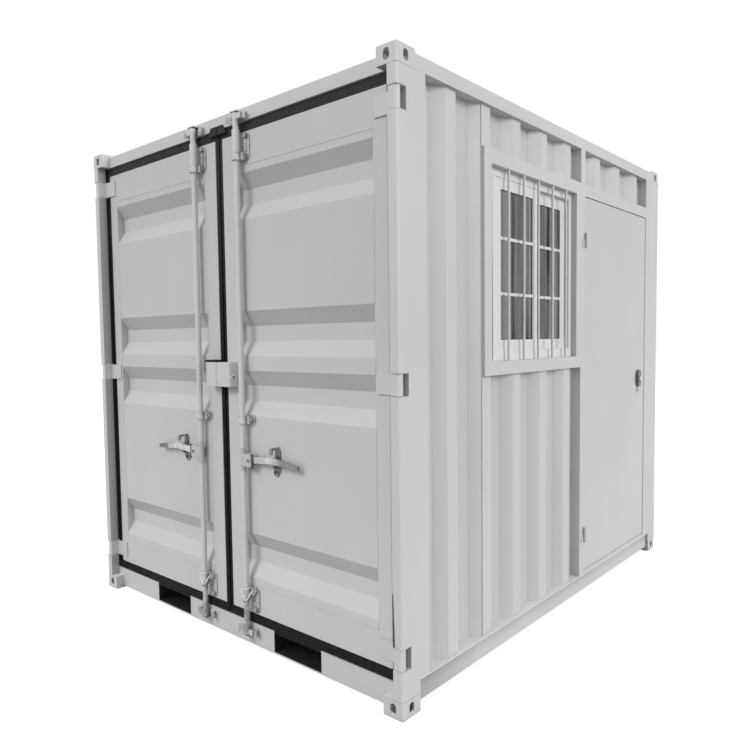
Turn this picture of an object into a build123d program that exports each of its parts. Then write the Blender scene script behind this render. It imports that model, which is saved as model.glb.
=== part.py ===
"""Small steel container cabin: a welded box with two cargo doors at one end,
a barred sliding window and a hinged side door in one long wall, and
corrugated sheet walls and roof.

Millimetres.  +Z is up and the ground is z = 0.  The cargo doors face -Y and
the side door faces +X.  The origin is under the middle of everything, the
side door's knob included, so the box's own middle plane lies a little to -X.
Inside this file a position across the box is measured from that middle plane,
a position along the box from the cargo-door end, and a depth inwards from an
outer face.
"""
from build123d import *
import math
import os

os.makedirs("parts", exist_ok=True)

# ---------------------------------------------------------------- overall size
length = 2743.0
width = 2225.0
height = 2499.0

# ---------------------------------------------------------------- frame steel
casting_w = 95.0
casting_l = 110.0
casting_h = 72.0
casting_wall = 9.0
casting_round = 5.0
casting_hole_w = 30.0
casting_hole_h = 44.0
casting_slot_w = 36.0
casting_slot_l = 60.0
casting_proud = 15.0

front_post_w = 45.5
front_post_d = 112.0
front_post_plate = 172.0
post_wall = 6.0
post_round = 9.0
rear_post_w = 60.0
rear_post_d = 118.0
rear_jamb_w = 99.0

end_recess = 44.0
header_wall = 4.0
stop_depth = 106.0
stop_thick = 6.0
stop_lap = 34.0

side_rail_w = 60.0
top_rail_wall = 3.0
rail_z0 = 32.0
rail_z1 = 127.0
rail_wall = 4.5
rail_overhang = 14.0
sill_z0 = 12.0
sill_z1 = 115.0
sill_wall = 5.0

# ---------------------------------------------------------------- sheet walls
sheet = 2.0
wave_inset = 15.0
wave_depth = 36.0
wave_crest = 73.0
wave_slope = 58.0
wave_pitch = 265.0
wave_start = 149.0
door_wave_pitch = 283.0
door_wave_start = 158.0
roof_depth = 20.0
roof_crest = 90.0
roof_slope = 14.0
roof_pitch = 209.0
roof_inset = 5.0
roof_start = 34.0

# ---------------------------------------------------------------- base
pocket_x0 = 330.0
pocket_w = 305.0
pocket_z0 = 18.0
pocket_top = 110.0
pocket_wall = 5.0
joist_w = 45.0
joist_wall = 4.0
joist_count = 7
floor_thick = 28.0

# ---------------------------------------------------------------- window
tube = 50.0
window_side_tube = 60.0
window_mullion_tube = 52.0
head_drop = 177.0
head_h = 63.0
window_w = 853.0
window_h = 853.0
guard_bar_r = 6.0
guard_bar_along = (158.0, 299.0, 442.0, 590.0, 738.0)
guard_bar_inset = 8.0
window_depth = 29.0
window_frame_t = 60.0
window_frame_w = 35.0
window_sill_h = 45.0
window_left_w = 73.0
window_cover = 3.0
sash_t = 18.0
sash_gap = 1.5
sash_stile = 55.0
sash_meeting_stile = 44.0
sash_rail = 50.0
sash_inner_head = 59.0
glass_t = 5.0
glazing_bar = 14.0
glazing_bar_t = 5.0
glazing_bar_up = (303.0, 552.0)

# ---------------------------------------------------------------- side door
side_leaf_w = 911.0
side_leaf_z0 = 150.0
side_leaf_gap = 5.0
side_leaf_lock_gap = 8.0
side_leaf_inset = 3.0
side_leaf_t = 40.0
side_stop_gap = 5.0
side_stop_side = 60.0
side_stop_head = 40.0
side_stop_t = 10.0
side_barrel_r = 9.0
side_pin_r = 5.0
side_pin_out = 10.0
side_hinge_z0 = 309.0
side_hinge_drop = 269.0
side_hinge_h = 80.0
side_flap_w = 32.0
side_flap_t = 3.0
lock_back = 98.0
lock_z = 1170.0
lock_plate_w = 52.0
lock_plate_h = 106.0
lock_plate_t = 13.0
knob_r = 20.0
knob_out = 27.0
knob_drop = 6.0
keyhole_r = 15.0
keyhole_t = 5.0
keyhole_drop = 70.0

# ---------------------------------------------------------------- cargo doors
leaf_sill_gap = 45.0
leaf_head_gap = 47.0
leaf_side_gap = 42.0
leaf_centre_gap = 27.5
leaf_face = 50.0
leaf_thick = 50.0
stile_outer_w = 70.0
stile_inner_w = 92.0
leaf_top_rail = 145.0
leaf_bottom_rail = 140.0
groove_depth = 36.0
groove_flat = 70.0
groove_slope = 69.0
groove_low = 278.0
groove_high = 283.0
groove_mid_low = -72.0
groove_mid_high = 203.0
gasket_face = 54.0
gasket_thick = 36.0
gasket_gap = 5.0
gasket_lip = 12.0
gasket_lip_cut = 6.0
gasket_toe = 44.0
gasket_toe_h = 9.0
flap_z1 = 14.0
flap_z0 = 22.0
flap_t = 5.0
flap_low_w = 70.0
flap_high_w = 45.0
flap_gap = 2.5

hinge_inset = 18.0
hinge_barrel_r = 15.5
hinge_pin_r = 8.0
hinge_end = 72.0
hinge_blade_h = 82.0
hinge_blade_t = 6.0
hinge_blade_lap = 59.0
hinge_notch_gap = 5.0
hinge_notch_depth = 55.0
hinge_web_in = 21.5
hinge_web_out = 27.0
hinge_lug_t = 10.0
pin_clearance = 0.05

rod_x = 165.0
rod_depth = 22.0
rod_r = 13.5
rod_z0 = 62.0
rod_below_top = 22.0
guide_clearance = 0.5
guide_wall = 7.0
guide_plate_t = 5.0
guide_plate_x0 = 18.0
guide_plate_w = 46.0
guide_ring_h = 32.0
guide_long = 122.0
guide_short = 48.0
guide_mid_z = 1051.0
guide_inset = 6.0
guide_v_drop = 36.0
sleeve_r = 18.0
sleeve_h = 102.0
cam_in = 12.0
cam_reach = 42.0
cam_h = 24.0
cam_thick = 15.0
cam_end = 4.0
keeper_t = 5.0
keeper_h = 34.0
keeper_base = 50.0
keeper_flare = 66.0
keeper_face = 14.0
keeper_ledge_gap = 4.0

handle_z = 893.0
handle_h = 30.0
handle_t = 12.0
handle_low = 892.0
handle_neck_h = 29.0
handle_neck = 200.0
handle_grip_h = 20.0
handle_tip = 372.0
handle_tip_z = 891.0
pivot_x = 52.0
pivot_r = 5.0
fork_h = 60.0
fork_t = 6.0
fork_gap = 1.0
fork_end = 20.0
catch_x_right = 378.0
catch_x_left = 330.0
catch_w = 34.0
catch_z0 = 846.0
catch_z1 = 966.0
catch_t = 5.0
catch_face = 3.0
catch_lip_z = 936.0
catch_clear = 12.0
catch_hole_r = 7.0

lock_box_z0 = 1226.0
lock_box_h = 114.0
lock_box_right = 100.0
lock_box_left = 78.0
lock_box_face = 2.0
lock_box_wall = 4.0
lock_box_gap = 2.5
lock_box_hole_r = 14.0
lock_box_hole_z = 44.0

# ---------------------------------------------------------------- derived
half_w = width / 2
middle_x = -(knob_out - side_leaf_inset) / 2
door_face = -length / 2
rear_face = length / 2
casting_x = half_w - casting_w
rail_in = half_w - side_rail_w
post_in = half_w - front_post_w
rear_in = half_w - rear_post_w
top_rail_z1 = height - casting_proud
top_rail_z0 = height - casting_h
stop_back = stop_depth + stop_thick

wall_start = front_post_plate
wall_end = length - rear_post_d
rear_jamb = wall_end - rear_jamb_w
side_leaf_end = rear_jamb - side_leaf_lock_gap
side_leaf_start = side_leaf_end - side_leaf_w
mullion_end = side_leaf_start - side_leaf_gap
mullion_start = mullion_end - tube
window_end = mullion_start - window_mullion_tube
window_start = window_end - window_w
surround_start = window_start - window_side_tube
head_z1 = top_rail_z0 - head_drop
head_z0 = head_z1 - head_h
window_z1 = head_z0
window_z0 = window_z1 - window_h
surround_z0 = window_z0 - window_side_tube
side_leaf_z1 = head_z0 - side_leaf_gap
side_leaf_x1 = half_w - side_leaf_inset
side_leaf_x0 = side_leaf_x1 - side_leaf_t
side_axis_x = half_w + side_pin_out
side_axis_d = mullion_end + side_leaf_gap / 2

leaf_z0 = sill_z1 + leaf_sill_gap
leaf_z1 = top_rail_z0 - leaf_head_gap
leaf_mid_z = (leaf_z0 + leaf_z1) / 2
leaf_out = post_in - leaf_side_gap
leaf_back = leaf_face + leaf_thick
hinge_x = half_w - hinge_inset
hinge_z = (leaf_z0 + hinge_end, leaf_mid_z + groove_mid_low + hinge_end, leaf_z1 - hinge_end)
groove_z = (leaf_z0 + groove_low, leaf_mid_z + groove_mid_low,
            leaf_mid_z + groove_mid_high, leaf_z1 - groove_high)
rod_z1 = top_rail_z1 - rod_below_top
floor_z0 = sill_z1
rail_front = length - side_rail_w


def y_at(distance):
    """Y of a distance from the cargo-door end."""
    return door_face + distance


def level(z):
    """Sketch plane at a height: x across from the middle, y along."""
    return Plane(origin=(middle_x, 0, z), x_dir=(1, 0, 0), z_dir=(0, 0, 1))


def facing_door_end(distance):
    """Sketch plane square to the length: x across, y up, normal towards -Y."""
    return Plane(origin=(middle_x, y_at(distance), 0), x_dir=(1, 0, 0), z_dir=(0, -1, 0))


def facing_side(x):
    """Sketch plane square to the width: x along, y up, normal towards +X."""
    return Plane(origin=(middle_x + x, 0, 0), x_dir=(0, 1, 0), z_dir=(1, 0, 0))


def block(x0, x1, d0, d1, z0, z1, mode=Mode.ADD):
    """Box over a range across, a range along from the door end and a range up."""
    with BuildSketch(level(z0)) as footprint:
        with Locations(((x0 + x1) / 2, y_at((d0 + d1) / 2))):
            Rectangle(abs(x1 - x0), abs(d1 - d0))
    extrude(footprint.sketch, amount=z1 - z0, mode=mode)


def disc(plane, at, radius, amount, mode=Mode.ADD, sides=0):
    """Round bar or bore drawn on a plane; with sides, a many-sided bar instead."""
    with BuildSketch(plane) as outline:
        with Locations(at):
            if sides:
                RegularPolygon(radius, sides)
            else:
                Circle(radius)
    extrude(outline.sketch, amount=amount, mode=mode)


def prism(plane, corners, amount, mode=Mode.ADD):
    """Extrusion of a closed outline drawn on a plane."""
    with BuildSketch(plane) as face:
        with BuildLine() as outline:
            Polyline(*corners, close=True)
        make_face(outline.edges())
    extrude(face.sketch, amount=amount, mode=mode)


def oval(across, up, wide, tall, steps=3):
    """Corners of an upright outline with round ends, each end 2 * steps flats."""
    r = wide / 2
    rise = (tall - wide) / 2
    turns = [math.pi * k / (2 * steps) for k in range(2 * steps + 1)]
    top = [(across + r * math.cos(a), up + rise + r * math.sin(a)) for a in turns]
    low = [(across - r * math.cos(a), up - rise - r * math.sin(a)) for a in turns]
    return top + low


def save(piece, name):
    """Label a finished piece and write its own file."""
    piece.part.label = name
    export_step(piece.part, f"parts/{name}.step")


def wave(start, end, first_crest, pitch, crest, slope, depth):
    """Corners (position, depth) of a trapezoid wave between two positions."""
    corners = []
    position = first_crest - pitch * (int((first_crest - start) / pitch) + 2)
    while position < end + pitch:
        corners += [(position - slope, depth), (position, 0.0)]
        corners += [(position + crest, 0.0), (position + crest + slope, depth)]
        position += pitch

    def depth_at(p):
        for (a, da), (b, db) in zip(corners, corners[1:]):
            if a <= p <= b:
                return da + (db - da) * (p - a) / (b - a)
        return depth

    inner = [(p, d) for p, d in corners if start < p < end]
    return [(start, depth_at(start))] + inner + [(end, depth_at(end))]


def strip(points, inset, place):
    """Closed outline of a sheet along a wave; place maps (position, depth)."""
    outer = [place(p, inset + d) for p, d in points]
    inner = [place(p, inset + d + sheet) for p, d in reversed(points)]
    return outer + inner


def side_sheet(side, start, end, z0, z1, first_crest, pitch):
    """Corrugated sheet of a long wall, on side +1 or -1."""
    points = wave(start, end, first_crest, pitch, wave_crest, wave_slope, wave_depth)
    corners = strip(points, wave_inset, lambda p, d: (side * (half_w - d), y_at(p)))
    prism(level(z0), corners, z1 - z0)


# ================================================================ frame
with BuildPart() as corner_castings:
    for sx in (1, -1):
        for d0 in (0.0, length - casting_l):
            for z0 in (0.0, height - casting_h):
                block(sx * casting_x, sx * half_w, d0, d0 + casting_l, z0, z0 + casting_h)
    outer_corners = corner_castings.edges().filter_by(Axis.Z).filter_by(
        lambda e: abs(abs(e.center().X - middle_x) - half_w) < 1
        and abs(abs(e.center().Y) - length / 2) < 1)
    fillet(outer_corners, casting_round)
    w = casting_wall
    for sx in (1, -1):
        for d0 in (0.0, length - casting_l):
            for z0 in (0.0, height - casting_h):
                block(sx * (casting_x + w), sx * (half_w - w), d0 + w, d0 + casting_l - w,
                      z0 + w, z0 + casting_h - w, Mode.SUBTRACT)
                across = sx * (half_w - casting_w / 2)
                along = d0 + casting_l / 2
                up = z0 + casting_h / 2
                end_face = d0 if d0 == 0 else length
                prism(facing_door_end(end_face), oval(across, up, casting_hole_w, casting_hole_h),
                      -w if d0 == 0 else w, Mode.SUBTRACT)
                prism(facing_side(sx * half_w),
                      oval(y_at(along), up, casting_hole_w, casting_hole_h),
                      -sx * w, Mode.SUBTRACT)
                prism(level(0 if z0 == 0 else height),
                      oval(across, y_at(along), casting_slot_w, casting_slot_l),
                      w if z0 == 0 else -w, Mode.SUBTRACT)
save(corner_castings, "corner_castings")

with BuildPart() as front_posts:
    for s in (1, -1):
        block(s * post_in, s * half_w, 0, front_post_d, casting_h, top_rail_z0)
        block(s * (half_w - post_wall), s * half_w, front_post_d, front_post_plate,
              rail_z1, top_rail_z0)
        block(s * (half_w - wave_inset - wave_depth - sheet), s * (half_w - post_wall),
              front_post_plate - post_wall, front_post_plate, rail_z1, top_rail_z0)
        block(s * (post_in - stop_lap), s * post_in, stop_depth, stop_back, sill_z1, top_rail_z0)
    front_edges = front_posts.edges().filter_by(Axis.Z).filter_by(
        lambda e: abs(abs(e.center().X - middle_x) - half_w) < 1
        and abs(e.center().Y - door_face) < 1)
    fillet(front_edges, post_round)
    for s in (1, -1):
        block(s * (post_in + post_wall), s * (half_w - post_wall), post_wall,
              front_post_d - post_wall, casting_h, top_rail_z0, Mode.SUBTRACT)
        notch = hinge_blade_h / 2 + hinge_notch_gap
        for zc in hinge_z:
            block(s * post_in, s * half_w, 0, hinge_notch_depth, zc - notch, zc + notch,
                  Mode.SUBTRACT)
save(front_posts, "front_posts")

with BuildPart() as front_header:
    block(-casting_x, casting_x, end_recess, stop_back, top_rail_z0, top_rail_z1)
    block(-casting_x + header_wall, casting_x - header_wall, end_recess + header_wall,
          stop_back - header_wall, top_rail_z0 + header_wall, top_rail_z1 - header_wall,
          Mode.SUBTRACT)
    block(-post_in + stop_lap, post_in - stop_lap, stop_depth, stop_back,
          top_rail_z0 - stop_lap, top_rail_z0)
save(front_header, "front_header")

with BuildPart() as front_sill:
    block(-post_in, post_in, end_recess, stop_back, pocket_top, sill_z1)
    block(-post_in + stop_lap, post_in - stop_lap, stop_depth, stop_back,
          sill_z1, sill_z1 + stop_lap)
save(front_sill, "front_sill")

with BuildPart() as sill_boxes:
    w = sill_wall
    pocket_x1 = pocket_x0 + pocket_w
    for d0, d1, out in ((end_recess, stop_back, post_in), (rail_front, length, rear_in)):
        block(-pocket_x0, pocket_x0, d0, d1, sill_z0, pocket_top)
        block(-pocket_x0 + w, pocket_x0 - w, d0 + w, d1 - w, sill_z0, pocket_top, Mode.SUBTRACT)
        for s in (1, -1):
            block(s * pocket_x1, s * casting_x, d0, d1, sill_z0, pocket_top)
            block(s * casting_x, s * out, d0, d1, casting_h, pocket_top)
            block(s * (pocket_x1 + w), s * (casting_x - w), d0 + w, d1 - w, sill_z0, pocket_top,
                  Mode.SUBTRACT)
save(sill_boxes, "sill_boxes")

with BuildPart() as rear_posts:
    for s in (1, -1):
        block(s * rear_in, s * half_w, wall_end, length, casting_h, top_rail_z0)
        block(s * (rear_in + post_wall), s * (half_w - post_wall), wall_end + post_wall,
              length - post_wall, casting_h, top_rail_z0, Mode.SUBTRACT)
save(rear_posts, "rear_posts")

with BuildPart() as rear_rails:
    w = header_wall
    for out, z0, z1 in ((rear_in, pocket_top, rail_z1), (casting_x, top_rail_z0, top_rail_z1)):
        block(-out, out, rail_front, length, z0, z1)
        block(-out + w, out - w, rail_front + w, length - w, z0 + w, z1 - w, Mode.SUBTRACT)
save(rear_rails, "rear_rails")

with BuildPart() as top_side_rails:
    t = top_rail_wall
    for s in (1, -1):
        block(s * rail_in, s * half_w, casting_l, length - casting_l, top_rail_z0, top_rail_z1)
        block(s * (rail_in + t), s * (half_w - t), casting_l + t, length - casting_l - t,
              top_rail_z0 + t, top_rail_z1 - t, Mode.SUBTRACT)
save(top_side_rails, "top_side_rails")

with BuildPart() as bottom_side_rails:
    t = rail_wall
    for s in (1, -1):
        out_x = half_w - rail_overhang
        block(s * rail_in, s * out_x, front_post_d, wall_end, rail_z0, rail_z1)
        block(s * out_x, s * half_w, front_post_d, wall_end, rail_z1 - t, rail_z1)
        block(s * (rail_in + t), s * (out_x - t), front_post_d, wall_end, rail_z0 + t,
              rail_z1 - t, Mode.SUBTRACT)
save(bottom_side_rails, "bottom_side_rails")

# ================================================================ base
base_end = rail_front
tunnel_in = pocket_x0 - pocket_wall
tunnel_out = pocket_x1 + pocket_wall

with BuildPart() as floor_joists:
    step = (base_end - stop_back - joist_w) / (joist_count - 1)
    t = joist_wall
    for i in range(joist_count):
        d0 = stop_back + i * step
        for x0, x1 in ((-rail_in, -tunnel_out), (-tunnel_in, tunnel_in), (tunnel_out, rail_in)):
            block(x0, x1, d0, d0 + joist_w, rail_z0, floor_z0)
            block(x0, x1, d0 + t, d0 + joist_w, rail_z0 + t, floor_z0 - t, Mode.SUBTRACT)
    for s in (1, -1):
        block(s * casting_x, s * half_w, length - casting_l, length, 0, casting_h, Mode.SUBTRACT)
save(floor_joists, "floor_joists")

with BuildPart() as tunnel_walls:
    for s in (1, -1):
        for x0, x1 in ((tunnel_in, pocket_x0), (pocket_x1, tunnel_out)):
            block(s * x0, s * x1, stop_back, base_end, sill_z0, pocket_top)
save(tunnel_walls, "tunnel_walls")

with BuildPart() as tunnel_plates:
    for s in (1, -1):
        block(s * tunnel_in, s * tunnel_out, stop_back, base_end, pocket_top, floor_z0)
        block(s * pocket_x0, s * pocket_x1, end_recess, length, sill_z0, pocket_z0)
save(tunnel_plates, "tunnel_plates")

with BuildPart() as floor_deck:
    block(-rail_in, rail_in, stop_back, base_end, floor_z0, floor_z0 + floor_thick)
save(floor_deck, "floor_deck")

# ================================================================ walls and roof
first_crest = front_post_plate + wave_start

with BuildPart() as left_wall:
    side_sheet(-1, wall_start, wall_end, rail_z1, top_rail_z0, first_crest, wave_pitch)
save(left_wall, "left_wall")

with BuildPart() as side_wall_front:
    side_sheet(1, wall_start, surround_start, rail_z1, top_rail_z0, first_crest, wave_pitch)
save(side_wall_front, "side_wall_front")

with BuildPart() as side_wall_window_bay:
    for z0, z1 in ((rail_z1, surround_z0), (head_z1, top_rail_z0)):
        side_sheet(1, surround_start, mullion_start, z0, z1, first_crest, wave_pitch)
save(side_wall_window_bay, "side_wall_window_bay")

with BuildPart() as side_wall_over_door:
    side_sheet(1, mullion_end, rear_jamb, head_z1, top_rail_z0,
               mullion_end + door_wave_start, door_wave_pitch)
save(side_wall_over_door, "side_wall_over_door")

with BuildPart() as rear_wall:
    points = wave(-rear_in, rear_in, -wave_crest / 2, wave_pitch, wave_crest, wave_slope,
                  wave_depth)
    prism(level(rail_z1), strip(points, wave_inset, lambda p, d: (p, rear_face - d)),
          top_rail_z0 - rail_z1)
save(rear_wall, "rear_wall")

with BuildPart() as roof:
    points = wave(stop_back, base_end, stop_back + roof_start, roof_pitch, roof_crest,
                  roof_slope, roof_depth)
    prism(facing_side(-rail_in), strip(points, roof_inset, lambda p, d: (y_at(p), top_rail_z1 - d)),
          2 * rail_in)
    for s in (1, -1):
        block(s * casting_x, s * half_w, length - casting_l, length, height - casting_h, height,
              Mode.SUBTRACT)
save(roof, "roof")

# ================================================================ window
tube_in = half_w - tube

with BuildPart() as window_surround:
    block(tube_in, half_w, surround_start, mullion_start, surround_z0, head_z1)
    block(tube_in, half_w, window_start, window_end, window_z0, window_z1, Mode.SUBTRACT)
save(window_surround, "window_surround")

with BuildPart() as window_guard_bars:
    for along in guard_bar_along:
        disc(level(window_z0), (half_w - guard_bar_inset, y_at(window_start + along)),
             guard_bar_r, window_h, sides=12)
save(window_guard_bars, "window_guard_bars")

frame_x1 = half_w - window_depth
frame_x0 = frame_x1 - window_frame_t
light_start = window_start + window_left_w
light_end = window_end - window_frame_w
light_z0 = window_z0 + window_sill_h
light_z1 = window_z1 - window_frame_w
sash_w = (light_end - light_start + sash_stile) / 2

with BuildPart() as window_frame:
    block(frame_x0, frame_x1, window_start, window_end, window_z0, window_z1)
    block(frame_x0, frame_x1, light_start, light_end, light_z0, light_z1, Mode.SUBTRACT)
save(window_frame, "window_frame")

# each sash: its outer face, its ends, its pane's ends and its pane's top
sashes = ((frame_x1 - window_cover, light_start, light_start + sash_w,
           light_start + sash_stile, light_start + sash_w - sash_meeting_stile,
           light_z1 - sash_rail),
          (frame_x1 - window_cover - sash_t - sash_gap, light_end - sash_w, light_end,
           light_end - sash_w + sash_meeting_stile, light_end - sash_stile,
           light_z1 - sash_inner_head))
pane_z0 = light_z0 + sash_rail

with BuildPart() as window_sashes:
    for x1, d0, d1, pane_d0, pane_d1, pane_z1 in sashes:
        block(x1 - sash_t, x1, d0, d1, light_z0, light_z1)
        block(x1 - sash_t, x1, pane_d0, pane_d1, pane_z0, pane_z1, Mode.SUBTRACT)
        for up in glazing_bar_up:
            zc = window_z0 + up
            block(x1 - glazing_bar_t, x1, pane_d0, pane_d1, zc - glazing_bar / 2,
                  zc + glazing_bar / 2)
save(window_sashes, "window_sashes")

with BuildPart() as window_glass:
    for x1, d0, d1, pane_d0, pane_d1, pane_z1 in sashes:
        pane_x1 = x1 - glazing_bar_t
        block(pane_x1 - glass_t, pane_x1, pane_d0, pane_d1, pane_z0, pane_z1)
save(window_glass, "window_glass")

# ================================================================ side door
stop_x1 = side_leaf_x0 - side_stop_gap

with BuildPart() as side_door_frame:
    block(tube_in, half_w, mullion_start, mullion_end, rail_z1, top_rail_z0)
    block(tube_in, half_w, mullion_end, rear_jamb, head_z0, head_z1)
    block(tube_in, half_w, rear_jamb, wall_end, rail_z1, top_rail_z0)
    block(tube_in, half_w, mullion_end, rear_jamb, rail_z1, side_leaf_z0 - side_leaf_gap)
    block(stop_x1 - side_stop_t, stop_x1, mullion_start, rear_jamb + tube,
          side_leaf_z0 - side_leaf_gap, head_z0)
    block(stop_x1 - side_stop_t, stop_x1, side_leaf_start + side_stop_side,
          side_leaf_end - side_stop_side, side_leaf_z0 + side_stop_head,
          side_leaf_z1 - side_stop_head, Mode.SUBTRACT)
save(side_door_frame, "side_door_frame")

with BuildPart() as side_door_leaf:
    block(side_leaf_x0, side_leaf_x1, side_leaf_start, side_leaf_end, side_leaf_z0, side_leaf_z1)
save(side_door_leaf, "side_door_leaf")

side_pivot = (side_axis_x, y_at(side_axis_d))
side_hinge_low = (side_hinge_z0, side_leaf_z1 - side_hinge_drop)

with BuildPart() as side_door_pins:
    for z0 in side_hinge_low:
        zm = z0 + side_hinge_h / 2
        disc(level(z0), side_pivot, side_barrel_r, zm - z0, sides=16)
        block(half_w, half_w + side_flap_t, side_axis_d - side_flap_w, side_axis_d, z0, zm)
        disc(level(zm), side_pivot, side_pin_r, side_hinge_h / 2 + 2)
save(side_door_pins, "side_door_pins")

with BuildPart() as side_door_knuckles:
    for z0 in side_hinge_low:
        zm = z0 + side_hinge_h / 2 + 1
        z1 = z0 + side_hinge_h
        disc(level(zm), side_pivot, side_barrel_r, z1 - zm, sides=16)
        block(side_leaf_x1, side_leaf_x1 + side_flap_t, side_axis_d + side_leaf_gap / 2,
              side_axis_d + side_flap_w, zm, z1)
        block(side_leaf_x1 + side_flap_t, side_axis_x, side_axis_d + side_leaf_gap / 2,
              side_axis_d + side_barrel_r, zm, z1)
        disc(level(zm), side_pivot, side_pin_r + pin_clearance, z1 - zm, Mode.SUBTRACT)
save(side_door_knuckles, "side_door_knuckles")

lock_along = y_at(side_leaf_end - lock_back)

with BuildPart() as side_door_lock:
    prism(facing_side(side_leaf_x1), oval(lock_along, lock_z, lock_plate_w, lock_plate_h, 5),
          lock_plate_t)
    knob_t = knob_out - lock_plate_t
    disc(facing_side(side_leaf_x1 + lock_plate_t), (lock_along, lock_z - knob_drop), knob_r, knob_t)
    knob_rim = side_door_lock.edges().filter_by(GeomType.CIRCLE).group_by(Axis.X)[-1]
    chamfer(knob_rim, knob_t / 3)
    disc(facing_side(side_leaf_x1), (lock_along, lock_z - keyhole_drop), keyhole_r,
         keyhole_t, sides=16)
save(side_door_lock, "side_door_lock")

# ================================================================ cargo doors
with BuildPart() as cargo_hinge_mounts:
    notch = hinge_blade_h / 2 + hinge_notch_gap
    pocket_back = hinge_notch_depth + hinge_lug_t
    for s in (1, -1):
        in_x = s * (post_in + post_wall)
        out_x = s * (half_w - post_wall)
        for zc in hinge_z:
            for z0 in (zc - notch - hinge_lug_t, zc + notch):
                block(in_x, out_x, post_wall, pocket_back, z0, z0 + hinge_lug_t)
            block(in_x, out_x, hinge_notch_depth, pocket_back, zc - notch, zc + notch)
            disc(level(zc - notch), (s * hinge_x, y_at(hinge_inset)), hinge_pin_r, 2 * notch)
save(cargo_hinge_mounts, "cargo_hinge_mounts")

with BuildPart() as rod_keepers:
    rod_top_cam = rod_z1 - cam_end - cam_h
    rod_low_cam = rod_z0 + cam_end
    for s in (1, -1):
        at_x = s * rod_x
        for cam_z, up in ((rod_low_cam, -1), (rod_top_cam, 1)):
            mid = cam_z + cam_h / 2
            z0 = mid - keeper_h / 2
            inner = end_recess - keeper_t
            wing = [(at_x - keeper_base, y_at(end_recess)), (at_x - keeper_flare, y_at(keeper_face)),
                    (at_x - keeper_flare + keeper_t, y_at(keeper_face)),
                    (at_x - keeper_base + keeper_t, y_at(inner)),
                    (at_x + keeper_base - keeper_t, y_at(inner)),
                    (at_x + keeper_flare - keeper_t, y_at(keeper_face)),
                    (at_x + keeper_flare, y_at(keeper_face)), (at_x + keeper_base, y_at(end_recess))]
            prism(level(z0), wing, keeper_h)
            ledge_z = rod_z1 + keeper_ledge_gap if up > 0 else rod_z0 - keeper_ledge_gap - keeper_t
            block(at_x - keeper_base / 2, at_x + keeper_base / 2, inner, end_recess,
                  min(z0, ledge_z), max(z0 + keeper_h, ledge_z + keeper_t))
            block(at_x - keeper_base / 2, at_x + keeper_base / 2, rod_depth - rod_r, inner,
                  ledge_z, ledge_z + keeper_t)
save(rod_keepers, "rod_keepers")

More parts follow.
